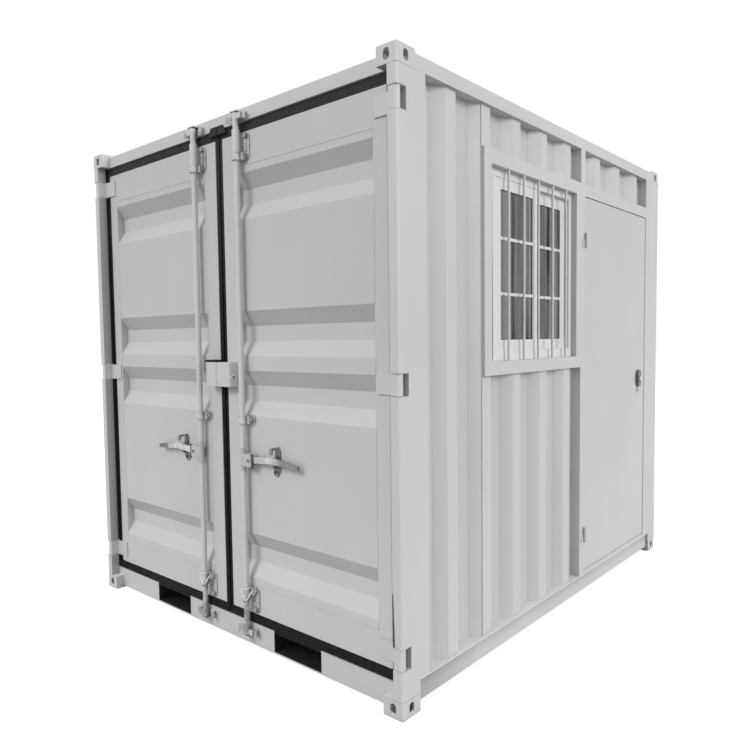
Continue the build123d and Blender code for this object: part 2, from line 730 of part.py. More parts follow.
for s, side in ((1, "right"), (-1, "left")):
    panel_in = leaf_centre_gap + stile_inner_w
    panel_out = leaf_out - stile_outer_w
    panel_z0 = leaf_z0 + leaf_bottom_rail
    panel_z1 = leaf_z1 - leaf_top_rail
    rod_at = (s * rod_x, y_at(rod_depth))

    with BuildPart() as leaf_frame:
        block(s * leaf_centre_gap, s * leaf_out, leaf_face, leaf_back, leaf_z0, leaf_z1)
        block(s * panel_in, s * panel_out, leaf_face, leaf_back, panel_z0, panel_z1, Mode.SUBTRACT)
    save(leaf_frame, f"{side}_door_frame")

    with BuildPart() as leaf_panel:
        front = [(y_at(leaf_face), panel_z0)]
        for zc in groove_z:
            flat = groove_flat / 2
            reach = flat + groove_slope
            front += [(y_at(leaf_face), zc - reach), (y_at(leaf_face + groove_depth), zc - flat),
                      (y_at(leaf_face + groove_depth), zc + flat), (y_at(leaf_face), zc + reach)]
        front += [(y_at(leaf_face), panel_z1)]
        back = [(y + sheet, z) for y, z in reversed(front)]
        prism(facing_side(min(s * panel_in, s * panel_out)), front + back, panel_out - panel_in)
    save(leaf_panel, f"{side}_door_panel")

    with BuildPart() as leaf_gasket:
        seal_in, seal_out = gasket_gap, post_in - gasket_gap
        seal_z0, seal_z1 = sill_z1 + gasket_gap, top_rail_z0 - gasket_gap
        seal_back = gasket_face + gasket_thick
        block(s * seal_in, s * seal_out, gasket_face, seal_back, seal_z0, seal_z1)
        block(s * leaf_centre_gap, s * leaf_out, gasket_face, seal_back, leaf_z0, leaf_z1,
              Mode.SUBTRACT)
        # the outer lip is thinner than the body, so it stands back at the front
        block(s * (seal_out - gasket_lip), s * seal_out, gasket_face,
              gasket_face + gasket_lip_cut, seal_z0, seal_z1, Mode.SUBTRACT)
        # the foot of the seal leans out over the sill
        toe = [(y_at(gasket_face), seal_z0), (y_at(gasket_toe), seal_z0),
               (y_at(gasket_toe), seal_z0 + gasket_toe_h), (y_at(gasket_face), leaf_z0 - 4)]
        prism(facing_side(min(s * seal_in, s * seal_out)), toe, seal_out - seal_in)
        flap = [(s * flap_gap, leaf_z1 + flap_z0), (s * flap_low_w, leaf_z1 + flap_z0),
                (s * flap_high_w, top_rail_z0 + flap_z1), (s * flap_gap, top_rail_z0 + flap_z1)]
        prism(facing_door_end(end_recess - 1), flap, flap_t)
        block(s * gasket_gap, s * flap_high_w, end_recess - 1, gasket_face,
              leaf_z1 + flap_z0, seal_z1)
    save(leaf_gasket, f"{side}_door_gasket")

    with BuildPart() as leaf_hinges:
        for zc in hinge_z:
            blade_low = level(zc - hinge_blade_h / 2)
            at = (s * hinge_x, y_at(hinge_inset))
            barrel = hinge_barrel_r
            nose = y_at(hinge_inset - barrel)
            disc(blade_low, at, barrel, hinge_blade_h, sides=20)
            # the arm runs flush with the post, steps back inside its edge and laps the leaf
            web_in, web_out = hinge_x - hinge_web_in, hinge_x - hinge_web_out
            lap = leaf_out - hinge_blade_lap
            arm = [(s * hinge_x, nose), (s * web_out, nose),
                   (s * (web_out - 3.5), y_at(leaf_face - 11)),
                   (s * (web_out - 19), y_at(leaf_face - hinge_blade_t)),
                   (s * lap, y_at(leaf_face - hinge_blade_t)), (s * lap, y_at(leaf_face)),
                   (s * (web_in - 21.5), y_at(leaf_face)), (s * (web_in - 4), y_at(leaf_face - 4.5)),
                   (s * web_in, y_at(hinge_inset + 5)), (s * hinge_x, y_at(hinge_inset + 5))]
            prism(blade_low, arm, hinge_blade_h)
            disc(blade_low, at, hinge_pin_r + pin_clearance, hinge_blade_h, Mode.SUBTRACT)
    save(leaf_hinges, f"{side}_door_hinges")

    with BuildPart() as rod_guides:
        spans = ((leaf_z0 + guide_inset, guide_long, 1), (guide_mid_z, guide_short, 0),
                 (leaf_z1 - guide_inset - guide_long, guide_long, -1))
        plate_x = s * rod_x + guide_plate_x0
        plate_mid = plate_x + guide_plate_w / 2
        ring_r = rod_r + guide_clearance + guide_wall
        for z0, h, end in spans:
            outline = oval(plate_mid, z0 + h / 2, guide_plate_w, h)
            prism(facing_door_end(leaf_face), outline, guide_plate_t)
            ring_z = {1: z0 + h - guide_ring_h, 0: z0 + (h - guide_ring_h) / 2, -1: z0}[end]
            drop = guide_v_drop if end > 0 else 0
            disc(level(ring_z - drop), rod_at, ring_r, guide_ring_h + drop, sides=16)
            for k in (-1, 1):
                if drop:
                    corner = [(s * rod_x, ring_z - drop), (s * rod_x + k * 2 * ring_r, ring_z - drop),
                              (s * rod_x + k * 2 * ring_r, ring_z), (s * rod_x + k * ring_r, ring_z)]
                    prism(facing_door_end(leaf_face), corner, leaf_face, Mode.SUBTRACT)
            block(s * rod_x, plate_mid, rod_depth + 6, leaf_face - guide_plate_t, ring_z,
                  ring_z + guide_ring_h)
            block(s * rod_x, plate_mid, leaf_face - guide_plate_t, leaf_face, ring_z,
                  ring_z + guide_ring_h)
            disc(level(ring_z - drop), rod_at, rod_r + guide_clearance, guide_ring_h + drop,
                 Mode.SUBTRACT)
        rib_z = leaf_z1 - guide_inset - guide_long
        block(plate_mid - 6, plate_mid + 6, leaf_face - guide_plate_t - 4,
              leaf_face - guide_plate_t, rib_z + guide_ring_h + 6, rib_z + guide_long - 28)
    save(rod_guides, f"{side}_rod_guides")

    with BuildPart() as handle_catch:
        cx = s * (catch_x_right if s > 0 else catch_x_left)
        left, right = cx - catch_w / 2, cx + catch_w / 2
        inner = leaf_face - catch_t
        prism(facing_door_end(leaf_face),
              oval(cx, (catch_z0 + catch_z1) / 2, catch_w, catch_z1 - catch_z0), catch_t)
        ledge_top = handle_low - catch_clear
        block(left + 4, right - 4, rod_depth - handle_t / 2, inner, ledge_top - catch_t, ledge_top)
        top = catch_z1
        hook = [(inner, top - 9), (inner, top - 4), (24, top), (11, top - 2), (catch_face + 2, top - 8),
                (catch_face, top - 17), (catch_face, catch_lip_z),
                (catch_face + catch_t, catch_lip_z), (catch_face + catch_t, top - 17),
                (catch_face + 9, top - 11), (24, top - 7)]
        prism(facing_side(left + 6), [(y_at(d), z) for d, z in hook], catch_w - 12)
        disc(facing_door_end(leaf_face), (cx, catch_z0 + catch_w / 2), catch_hole_r, catch_t,
             Mode.SUBTRACT, sides=10)
    save(handle_catch, f"{side}_handle_catch")

    with BuildPart() as lock_box:
        reach = lock_box_right if s > 0 else lock_box_left
        w = lock_box_wall
        top = lock_box_z0 + lock_box_h
        block(s * lock_box_gap, s * reach, lock_box_face, leaf_face, lock_box_z0, top)
        block(s * lock_box_gap, s * (reach - w), lock_box_face + w, leaf_face, lock_box_z0,
              top - w, Mode.SUBTRACT)
        if s > 0:
            middle = y_at((lock_box_face + leaf_face) / 2)
            disc(facing_side(reach), (middle, lock_box_z0 + lock_box_hole_z), lock_box_hole_r, -w,
                 Mode.SUBTRACT)
    save(lock_box, f"{side}_lock_box")

    with BuildPart() as lock_rod:
        disc(level(rod_z0), rod_at, rod_r, rod_z1 - rod_z0)
        sleeve_z0 = leaf_z1 - guide_inset - guide_long + guide_ring_h + 2
        disc(level(sleeve_z0), rod_at, sleeve_r, sleeve_h, sides=20)
        for z0 in (rod_z0 + cam_end, rod_z1 - cam_end - cam_h):
            block(s * (rod_x - cam_in), s * (rod_x + cam_reach), rod_depth - cam_thick / 2,
                  rod_depth + cam_thick / 2, z0, z0 + cam_h)
        bar_front = rod_depth - handle_t / 2 - fork_gap
        bar_back = rod_depth + handle_t / 2 + fork_gap
        fork_out = s * (rod_x + pivot_x + fork_end)
        low, high = handle_z - fork_h / 2, handle_z + fork_h / 2
        fork = [(s * rod_x, low + 10), (s * (rod_x + 12), low), (fork_out - s * 8, low),
                (fork_out, low + 8), (fork_out, high - 8), (fork_out - s * 8, high),
                (s * (rod_x + 12), high), (s * rod_x, high - 10)]
        for d0 in (bar_front, bar_back + fork_t):
            prism(facing_door_end(d0), fork, fork_t)
        pivot = (s * (rod_x + pivot_x), handle_z)
        disc(facing_door_end(bar_back), pivot, pivot_r, bar_back - bar_front)
        disc(facing_door_end(bar_front - fork_t), pivot, pivot_r + 3, 3)
    save(lock_rod, f"{side}_lock_rod")

    with BuildPart() as door_handle:
        root_x = s * (rod_x + pivot_x - 14)
        neck_x = s * (rod_x + handle_neck)
        tip_x = s * (rod_x + handle_tip)
        grip = handle_grip_h / 2
        bar = [(root_x, handle_z - handle_h / 2), (neck_x, handle_low),
               (tip_x, handle_tip_z - grip), (tip_x, handle_tip_z + grip),
               (neck_x, handle_low + handle_neck_h), (root_x, handle_z + handle_h / 2)]
        prism(facing_door_end(rod_depth + handle_t / 2), bar, handle_t)
        disc(facing_door_end(rod_depth + handle_t / 2), (s * (rod_x + pivot_x), handle_z),
             pivot_r + pin_clearance, handle_t, Mode.SUBTRACT)
    save(door_handle, f"{side}_door_handle")
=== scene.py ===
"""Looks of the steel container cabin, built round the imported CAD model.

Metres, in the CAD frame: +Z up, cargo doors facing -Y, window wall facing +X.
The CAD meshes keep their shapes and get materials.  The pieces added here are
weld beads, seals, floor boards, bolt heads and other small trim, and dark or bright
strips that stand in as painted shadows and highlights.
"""
import math
import random

import bmesh
import bpy
from mathutils import Matrix, Vector


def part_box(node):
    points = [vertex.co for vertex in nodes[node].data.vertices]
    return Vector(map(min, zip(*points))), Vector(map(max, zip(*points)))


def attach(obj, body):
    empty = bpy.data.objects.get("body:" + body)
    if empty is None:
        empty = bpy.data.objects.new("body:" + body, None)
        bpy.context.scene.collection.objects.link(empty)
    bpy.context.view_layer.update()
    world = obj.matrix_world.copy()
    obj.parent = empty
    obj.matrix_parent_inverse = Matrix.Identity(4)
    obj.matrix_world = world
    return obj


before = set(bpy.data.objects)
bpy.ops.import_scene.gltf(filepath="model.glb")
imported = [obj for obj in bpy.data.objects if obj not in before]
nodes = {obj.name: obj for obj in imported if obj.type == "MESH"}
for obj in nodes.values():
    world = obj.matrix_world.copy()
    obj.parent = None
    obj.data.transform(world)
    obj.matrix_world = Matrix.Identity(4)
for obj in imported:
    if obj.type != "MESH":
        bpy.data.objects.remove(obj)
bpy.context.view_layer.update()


# ------------------------------------------------------------------ places
def solids(node):
    """Boxes (low corner, high corner) of a node's separate solids, low ones first."""
    mesh = nodes[node].data
    welded, parent = {}, {}

    def root(i):
        while parent[i] != i:
            parent[i] = parent[parent[i]]
            i = parent[i]
        return i

    index = []
    for v in mesh.vertices:
        key = tuple(round(c, 5) for c in v.co)
        i = welded.setdefault(key, len(welded))
        parent.setdefault(i, i)
        index.append(i)
    for p in mesh.polygons:
        first = root(index[p.vertices[0]])
        for v in p.vertices[1:]:
            parent[root(index[v])] = first
    groups = {}
    for key, i in welded.items():
        groups.setdefault(root(i), []).append(key)
    boxes = [(Vector(map(min, *points)), Vector(map(max, *points))) for points in groups.values()]
    return sorted(boxes, key=lambda b: (round(b[0].z, 3), round(b[0].x, 3), round(b[0].y, 3)))


SIDES = (("right", 1), ("left", -1))

post_lo, post_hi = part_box("front_posts")
mid_x = (post_lo.x + post_hi.x) / 2
half_w = (post_hi.x - post_lo.x) / 2
front_y = post_lo.y
back_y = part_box("rear_posts")[1].y
base_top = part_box("bottom_side_rails")[1].z
rail_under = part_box("top_side_rails")[0].z

# doorway's edge from the cabin's side, and how deep in it the door seals bear, where the
# painted shade on the posts' inner faces turns black
POST_FACE, SEAL_DEPTH = 0.0452, 0.0445
# wall sheets: crests behind the frame's faces, depth of the wave, flat of a crest, slope
SHEET_INSET, WAVE_DEPTH, CREST_W, SLOPE = 0.015, 0.036, 0.073, 0.058
# wave pitch, and the wider one over the side door
PITCH, DOOR_PITCH = 0.265, 0.283
# where the long walls' sheets start, and the first crest from the start of a sheet
WALL_START, FIRST, DOOR_FIRST = 0.172, 0.149, 0.158
# handle pivots, from the middle plane and from the ground
PIVOT_X, PIVOT_Z = 0.217, 0.893
# fork pockets: inner and outer side from the middle plane, and top of the opening
POCKET_IN, POCKET_OUT, POCKET_TOP = 0.333, 0.632, 0.1065


# ------------------------------------------------------------------ material tools
class Material:
    """A node material with one Principled shader.

    A value is a plain number or colour, or the socket that gives it."""

    def __init__(self, name, color, roughness, metallic=0.0):
        self.mat = bpy.data.materials.new(name)
        self.mat.use_nodes = True
        self.tree = self.mat.node_tree
        self.shader = self.tree.nodes["Principled BSDF"]
        self.color = color
        self.set("Base Color", (*color, 1))
        self.set("Roughness", roughness)
        self.set("Metallic", metallic)

    def feed(self, node, key, value):
        if isinstance(value, bpy.types.NodeSocket):
            self.tree.links.new(value, node.inputs[key])
        else:
            node.inputs[key].default_value = value

    def set(self, name, value):
        """Gives the shader's input a value."""
        self.feed(self.shader, name, value)

    def add(self, kind, inputs=None, **settings):
        """New node with values at its inputs."""
        node = self.tree.nodes.new("ShaderNode" + kind)
        for key, value in settings.items():
            setattr(node, key, value)
        for key, value in (inputs or {}).items():
            self.feed(node, key, value)
        return node

    # numbers
    def math(self, operation, *values):
        return self.add("Math", dict(enumerate(values)), operation=operation).outputs[0]

    def times(self, a, b):
        return self.math("MULTIPLY", a, b)

    def plus(self, a, b):
        return self.math("ADD", a, b)

    def over(self, a, b):
        """1 where a is greater than b, else 0."""
        return self.math("GREATER_THAN", a, b)

    def under(self, a, b):
        """1 where a is less than b, else 0."""
        return self.math("LESS_THAN", a, b)

    def spread(self, value, low, high, start=0.3, end=0.7):
        """A value between start and end, mapped to low to high."""
        return self.add("MapRange", {"Value": value, "From Min": start, "From Max": end,
                                     "To Min": low, "To Max": high}).outputs[0]

    def either(self, test, yes, no):
        """One of two values, by a test of 1 or 0."""
        return self.spread(test, no, yes, 0.0, 1.0)

    # places
    def place(self, stretch=(1, 1, 1)):
        """Object coordinates, stretched."""
        coordinates = self.add("TexCoord").outputs["Object"]
        return self.add("Mapping", {"Vector": coordinates, "Scale": stretch}).outputs[0]

    def along(self, axis):
        """Distance along an axis of the CAD frame."""
        return self.add("SeparateXYZ", {"Vector": self.place()}).outputs[axis]

    def off_middle(self, axis="X"):
        """Distance from the cabin's middle plane across an axis."""
        middle = mid_x if axis == "X" else 0.0
        return self.math("ABSOLUTE", self.math("SUBTRACT", self.along(axis), middle))

    def facing_up(self):
        """1 on a level top, 0 on an upright face, -1 under a level one."""
        normal = self.add("NewGeometry").outputs["Normal"]
        return self.add("SeparateXYZ", {"Vector": normal}).outputs["Z"]

    # patterns
    def noise(self, scale, detail=3, stretch=(1, 1, 1)):
        return self.add("TexNoise", {"Vector": self.place(stretch), "Scale": scale,
                                     "Detail": detail}).outputs["Fac"]

    def openness(self, reach, samples=6):
        """1 in the open, down to 0 deep in a corner."""
        return self.add("AmbientOcclusion", {"Distance": reach}, samples=samples).outputs["AO"]

    def shade_in_corners(self, reach, darkest):
        """Painted shade: 1 in the open, down to darkest in corners."""
        return self.spread(self.openness(reach), darkest, 1.0, 0.35, 0.9)

    # colours and surface
    def tinted(self, value, color=None):
        """The colour times a value."""
        return self.add("VectorMath", {0: self.color if color is None else color, 1: value},
                        operation="MULTIPLY").outputs[0]

    def blend_colors(self, factor, a, b):
        """Colour a where the factor is 0, b where it is 1."""
        made = self.add("MixRGB", {"Fac": factor})
        for key, value in (("Color1", a), ("Color2", b)):
            self.feed(made, key, value if isinstance(value, bpy.types.NodeSocket) else (*value, 1))
        return made.outputs[0]

    def relief(self, heights, round_edge=0.0):
        """Bumps from (value, strength, distance), over edges rounded by a radius."""
        normal = None
        if round_edge:
            normal = self.add("Bevel", {"Radius": round_edge}, samples=4).outputs[0]
        for value, strength, distance in heights:
            made = self.add("Bump", {"Height": value, "Strength": strength, "Distance": distance})
            if normal:
                self.feed(made, "Normal", normal)
            normal = made.outputs[0]
        self.set("Normal", normal)


# ------------------------------------------------------------------ shades of paint
# Each of these returns a function that gives a material a factor for its colour; most of
# them paint light or shade into it.
def hollow(axis, edge):
    """Painted shade that darkens a pressed sheet's hollows, edge being the frame's outer face."""
    crest, valley = edge - SHEET_INSET, edge - SHEET_INSET - WAVE_DEPTH
    return lambda m: m.spread(m.off_middle(axis), 0.89, 1.0, valley, crest)


def height_shade(low, high, bottom=0.2, top=2.3):
    """Painted shade that changes from the sill to the header."""
    return lambda m: m.spread(m.along("Z"), low, high, bottom, top)


def seams_and_shade_bands(heights, width, factor):
    """Dark level bands, such as the weld lines where the castings are welded to the posts, and
    painted shade on the rod's fork round the handle's pivot.
    """
    def made(m):
        up = m.along("Z")
        shade = 1.0
        for z in heights:
            shade = m.times(shade, m.either(m.math("COMPARE", up, z, width), factor, 1.0))
        return shade
    return made


def deep(reach, level, darkest, lightest, start, end):
    """Painted shade inside the hollows under a level, painted light inside those above it."""
    def made(m):
        inside = m.spread(m.along("Z"), darkest, lightest, level - 0.1, level + 0.1)
        return m.spread(m.openness(reach, 8), inside, 1.0, start, end)
    return made


def reveal(factor, black):
    """Painted shade on the front posts' inner faces, black where the door seal bears on them."""
    def made(m):
        behind = front_y + SEAL_DEPTH
        outside = m.over(m.off_middle(), half_w - POST_FACE + 0.0003)
        ahead = m.spread(m.along("Y"), factor, black, behind - 0.002, behind + 0.002)
        return m.math("MAXIMUM", ahead, outside)
    return made


def squeezed_seal(widest, bottom, top, factor):
    """Black wedge of seal out over the right post's front edge, widest at the bottom."""
    def made(m):
        across, up = m.along("X"), m.along("Z")
        edge = mid_x + half_w - POST_FACE
        width = m.spread(up, widest, 0.4 * widest, bottom, top)
        inside = m.under(across, m.plus(width, edge))
        for test in (m.over(across, edge), m.over(up, bottom), m.under(up, top),
                     m.under(m.along("Y"), front_y + 0.004)):
            inside = m.times(inside, test)
        return m.either(inside, factor, 1.0)
    return made


def rail_shade(level, near, ledge):
    """Painted shade under a level, darkest behind the front post, and painted light on the
    ledge above it.
    """
    def made(m):
        up = m.along("Z")
        rail_shadow = m.times(m.spread(m.along("Y"), near, 1.0, front_y + 0.11, front_y + 0.55),
                       m.spread(up, 0.72, 1.0, level - 0.006, level - 0.055))
        return m.either(m.over(up, level), ledge, rail_shadow)
    return made


def facing_down(factor):
    """Painted shade on slopes that face down."""
    return lambda m: m.spread(m.facing_up(), factor, 1.0, -0.5, -0.1)


def low_ledge(level, factor):
    """Painted light on the tops of what lies under a level."""
    return lambda m: m.either(m.over(m.along("Z"), level), 1.0,
                              m.spread(m.facing_up(), 1.0, factor, 0.6, 0.8))


def beyond(axis, level, factor):
    """Painted light on the faces past a plane."""
    return lambda m: m.either(m.over(m.along(axis), level), factor, 1.0)


def lower_road_dirt(level, factor):
    """Blotchy road dirt under a level."""
    return lambda m: m.math("MAXIMUM", m.spread(m.noise(38.0, 4), factor, 1.0, 0.42, 0.6),
                            m.spread(m.along("Z"), 0.0, 1.0, level - 0.02, level + 0.06))


# ------------------------------------------------------------------ kinds of surface
def coat_tone(m):
    """Slow unevenness of a sprayed coat."""
    return m.spread(m.noise(1.1, 4), 0.965, 1.03)


def orange_peel(m, wave, edge):
    """Dents and orange peel of a sprayed coat, over rounded edges."""
    m.relief([(m.noise(2.2, 2), wave, 0.004), (m.noise(330.0, 2), 0.12, 0.0005)], edge)


def painted(name, color, roughness=0.42, wave=0.35, corner_shade_tone=0.9, edge=0.0015, shades=()):
    """Sprayed steel: orange peel, slow unevenness, faint run marks and painted shade in corners.

    wave is the strength of its dents, the value after it the tone of the painted shade in its
    corners, edge the radius it rounds edges by, and shades are functions that give it further
    factors."""
    m = Material(name, color, roughness)
    runs = m.spread(m.noise(7.0, 3, (1, 1, 0.06)), 0.985, 1.012)
    specks = m.spread(m.noise(170.0, 1), 0.985, 1.01, 0.3, 0.75)
    shade = m.times(m.times(coat_tone(m), runs), m.times(specks, m.shade_in_corners(0.05, corner_shade_tone)))
    for made in shades:
        shade = m.times(shade, made(m))
    m.set("Base Color", m.tinted(shade))
    m.set("Roughness", m.spread(m.noise(3.0, 5), roughness - 0.07, roughness + 0.1))
    orange_peel(m, wave, edge)
    return m.mat


def coated_inside(name, color, coat, low_y, high_y):
    """Painted end faces, with painted shade in their corners, and tar undercoat on everything
    between two planes.
    """
    m = Material(name, color, 0.42)
    y = m.along("Y")
    inside = m.times(m.over(y, low_y), m.under(y, high_y))
    paint = m.tinted(m.times(coat_tone(m), m.shade_in_corners(0.05, 0.9)))
    m.set("Base Color", m.blend_colors(inside, paint, coat))
    m.set("Roughness", m.either(inside, 0.6, 0.42))
    orange_peel(m, 0.35, 0.0015)
    return m.mat


def tar(name, color):
    """Thick sprayed undercoat: lumpy, dark, dusty on top."""
    m = Material(name, color, 0.6)
    dusty = m.spread(m.noise(9.0, 5), 0.0, 0.4, 0.45, 0.8)
    m.set("Base Color", m.blend_colors(dusty, color, tuple(2.2 * c for c in color)))
    m.set("Roughness", m.spread(m.noise(30.0, 4), 0.5, 0.8))
    m.relief([(m.noise(90.0, 4), 0.4, 0.0015)], 0.0015)
    return m.mat


def galvanised(name, light, dark, metallic=0.5, far=None):
    """Hot-dip zinc: crystal patches, runs, and painted shade in corners.

    far is (distance from the middle plane, factor): the grip end's darker tone."""
    m = Material(name, light, 0.4, metallic)
    cells = m.add("TexVoronoi", {"Vector": m.place(), "Scale": 95.0, "Randomness": 1.0}).outputs
    patch = m.spread(cells["Color"], 0.0, 1.0, 0.2, 0.85)
    smear = m.spread(m.noise(26.0, 5, (1, 1, 0.5)), 0.0, 1.0, 0.42, 0.6)
    mixed = m.blend_colors(m.plus(m.times(patch, 0.45), m.times(smear, 0.55)), dark, light)
    corner_shade_and_grip_tone = m.shade_in_corners(0.012, 0.45)
    if far:
        start, factor = far
        corner_shade_and_grip_tone = m.times(corner_shade_and_grip_tone, m.spread(m.off_middle(), 1.0, factor, start - 0.012, start + 0.012))
    m.set("Base Color", m.tinted(corner_shade_and_grip_tone, mixed))
    m.set("Roughness", m.spread(m.noise(60.0, 4), 0.32, 0.52))
    m.relief([(m.noise(45.0, 4), 0.35, 0.0012), (cells["Distance"], 0.1, 0.0006)], 0.0015)
    return m.mat


def rubber(name, color):
    """Door seal: matt, bleached near the top, with faint marks and dusty patches."""
    m = Material(name, color, 0.7)
    m.set("Specular IOR Level", 0.12)
    dusty = m.spread(m.noise(18.0, 4), 0.0, 0.3, 0.5, 0.85)
    bleached = m.tinted(m.spread(m.along("Z"), 1.0, 4.2, 1.5, 2.4))
    m.set("Base Color", m.blend_colors(dusty, bleached, (0.03, 0.03, 0.03)))
    m.set("Roughness", m.spread(m.noise(40.0, 3), 0.6, 0.85))
    m.relief([(m.noise(240.0, 3), 0.25, 0.0006)], 0.0012)
    return m.mat


def plastic(name, color):
    """White window profile: smooth, faintly dusty, with painted shade in corners."""
    m = Material(name, color, 0.3)
    shade = m.times(m.spread(m.noise(6.0, 4), 0.985, 1.0), m.shade_in_corners(0.02, 0.9))
    m.set("Base Color", m.tinted(shade))
    m.set("Roughness", m.spread(m.noise(25.0, 3), 0.26, 0.36))
    m.relief([(m.noise(400.0, 1), 0.05, 0.0003)], 0.001)
    return m.mat


def glazing(name, color):
    """Dusty float glass: waviness, and upright streaks that let less through, painted as
    reflections.
    """
    m = Material(name, color, 0.02)
    m.set("Transmission Weight", m.spread(m.noise(7.0, 3, (1, 1, 0.07)), 0.6, 1.0, 0.40, 0.52))
    m.set("IOR", 1.5)
    m.set("Roughness", m.spread(m.noise(9.0, 4), 0.0, 0.06, 0.45, 0.8))
    m.relief([(m.noise(3.0, 1), 0.06, 0.002)])
    return m.mat


def timber(name, color, dark, light):
    """Sealed plywood boards: grain along the cabin, in slow changes of tone."""
    m = Material(name, color, 0.55)
    grain = m.add("TexWave", {"Vector": m.place((1, 0.12, 1)), "Scale": 26.0, "Distortion": 5.0,
                              "Detail": 4.0, "Detail Scale": 1.5},
                  wave_type="BANDS", bands_direction="X").outputs["Fac"]
    streak = m.noise(60.0, 5, (1, 0.05, 1))
    tone = m.times(m.spread(streak, 0.8, 1.1), m.spread(m.noise(2.1, 2), 0.8, 1.15))
    m.set("Base Color", m.tinted(tone, m.blend_colors(m.times(grain, 0.7), dark, light)))
    m.set("Roughness", m.spread(streak, 0.45, 0.7))
    m.relief([(streak, 0.3, 0.001)], 0.001)
    return m.mat


def lock_metal(name, dark, bright, rose, face_x, plate_z):
    """Lock: blackened plate with painted shade in its corners, bright knob standing out of it,
    painted rose under it.
    """
    m = Material(name, dark, 0.36, 0.25)
    brushed = m.noise(120.0, 3, (1, 1, 0.08))
    brushed_and_shaded = m.tinted(m.times(m.spread(brushed, 0.85, 1.1), m.shade_in_corners(0.01, 0.5)))
    mixed = m.blend_colors(m.over(m.along("X"), face_x), brushed_and_shaded, bright)
    m.set("Base Color", m.blend_colors(m.under(m.along("Z"), plate_z), mixed, rose))
    m.set("Roughness", m.spread(m.noise(70.0, 3), 0.28, 0.48))
    m.relief([(brushed, 0.15, 0.0004)], 0.0012)
    return m.mat


# ------------------------------------------------------------------ palette
PAINT = (0.575, 0.578, 0.578)
TAR = (0.010, 0.010, 0.0105)
BAR_LIGHT, BAR_DARK = (0.70, 0.71, 0.71), (0.42, 0.43, 0.43)

casting_seams = seams_and_shade_bands((post_lo.z, post_hi.z), 0.0014, 0.62)
lock_box_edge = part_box("right_lock_box")[1].x - 0.001
lock_lo, lock_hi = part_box("side_door_lock")

steel = painted("paint_body", PAINT)
# weld lines at the castings; painted shade on the inner faces, black deep in; black seal wedge
post_paint = painted("paint_posts", PAINT, shades=(
    casting_seams, reveal(0.72, 0.05), squeezed_seal(0.011, 0.274, 0.484, 0.06)))
rear_post_paint = painted("paint_rear_posts", PAINT, shades=(casting_seams,))
# painted shade in the low castings' holes, painted light in the high ones' and on the low tops
casting_paint = painted("paint_castings", PAINT, 0.42, 0.7, 0.85, shades=(
    casting_seams, deep(0.09, 1.2, 0.35, 1.35, 0.06, 0.24), low_ledge(0.09, 2.3)))
# painted shade: darker towards the header, and on slopes that face down
door_paint = painted("paint_doors", PAINT, 0.4, 0.5, edge=0.003, shades=(
    height_shade(1.02, 0.93), facing_down(0.84)))
# painted light on the lock box's right side
lock_box_paint = painted("paint_lock_box", PAINT, 0.4, 0.3, shades=(
    beyond("X", lock_box_edge, 1.3),))
# painted shade in the hollows of the wall sheets
side_wall_paint = painted("paint_side_walls", PAINT, 0.45, 0.5, edge=0.008, shades=(
    hollow("X", half_w),))
rear_wall_paint = painted("paint_rear_wall", PAINT, 0.45, 0.5, edge=0.008, shades=(
    hollow("Y", back_y),))
roof_paint = painted("paint_roof", PAINT, 0.45, 0.5, edge=0.004)
# painted shade on the bottom rails' faces, painted light on the ledge over them
base_paint = painted("paint_base", PAINT, 0.42, 0.3, shades=(
    rail_shade(base_top - 0.007, 0.62, 1.3),))
# road dirt low on the rods, and painted shade on the fork round the handle's pivot
tube_paint = painted("zinc_tube", (0.61, 0.614, 0.614), 0.36, 0.05, 0.8, 0.0, shades=(
    lower_road_dirt(0.24, 0.45), seams_and_shade_bands((PIVOT_Z,), 0.055, 0.8)))
weld_paint = painted("paint_welds", (0.56, 0.563, 0.563), 0.45, 0.3, 0.8, 0.0)
guard_paint = painted("paint_guard", (0.60, 0.605, 0.605), 0.4, 0.2, 0.9, 0.0)
# painted highlights: the lip on the low rod guides with its collar, and the lock box's eye
highlight_paint = painted("paint_highlight", (0.82, 0.825, 0.825), 0.35, 0.1, 1.0, 0.0)
undercoat = tar("undercoat", TAR)
end_paint = coated_inside("paint_ends", PAINT, TAR, front_y + 0.0455, back_y - 0.0015)
zinc = galvanised("zinc", (0.62, 0.63, 0.63), (0.32, 0.33, 0.33))
catch_zinc = galvanised("zinc_catches", (0.35, 0.36, 0.36), (0.11, 0.114, 0.114))
keeper_zinc = galvanised("zinc_keepers", (0.80, 0.81, 0.81), (0.46, 0.47, 0.47), 0.15)
bar_zinc = {"right": galvanised("zinc_right_bar", BAR_LIGHT, BAR_DARK, 0.4, (0.405, 0.42)),
            "left": galvanised("zinc_left_bar", BAR_LIGHT, BAR_DARK, 0.4, (0.452, 0.28))}
bolt_zinc = galvanised("zinc_bolts", (0.50, 0.51, 0.51), (0.20, 0.205, 0.205))
dark_bolt_and_shadow = galvanised("dark_bolts", (0.16, 0.165, 0.165), (0.05, 0.052, 0.052))
# black rubber; also the colour of strips that stand in as painted shadows
seal = rubber("seal", (0.008, 0.008, 0.0085))
# grey of the painted shadow line down the window jamb
shadow_line_grey = rubber("shadow_line_rubber", (0.20, 0.20, 0.20))
white_plastic = plastic("window_plastic", (0.70, 0.705, 0.705))
glass = glazing("glass", (0.36, 0.372, 0.372))
wood = timber("floor_wood", (0.30, 0.18, 0.10), (0.22, 0.125, 0.065), (0.42, 0.27, 0.15))
lock_finish = lock_metal("lock_plating", (0.17, 0.17, 0.173), (0.55, 0.55, 0.56),
                         tuple(0.8 * c for c in PAINT), lock_lo.x + 0.0135, lock_lo.z + 0.031)

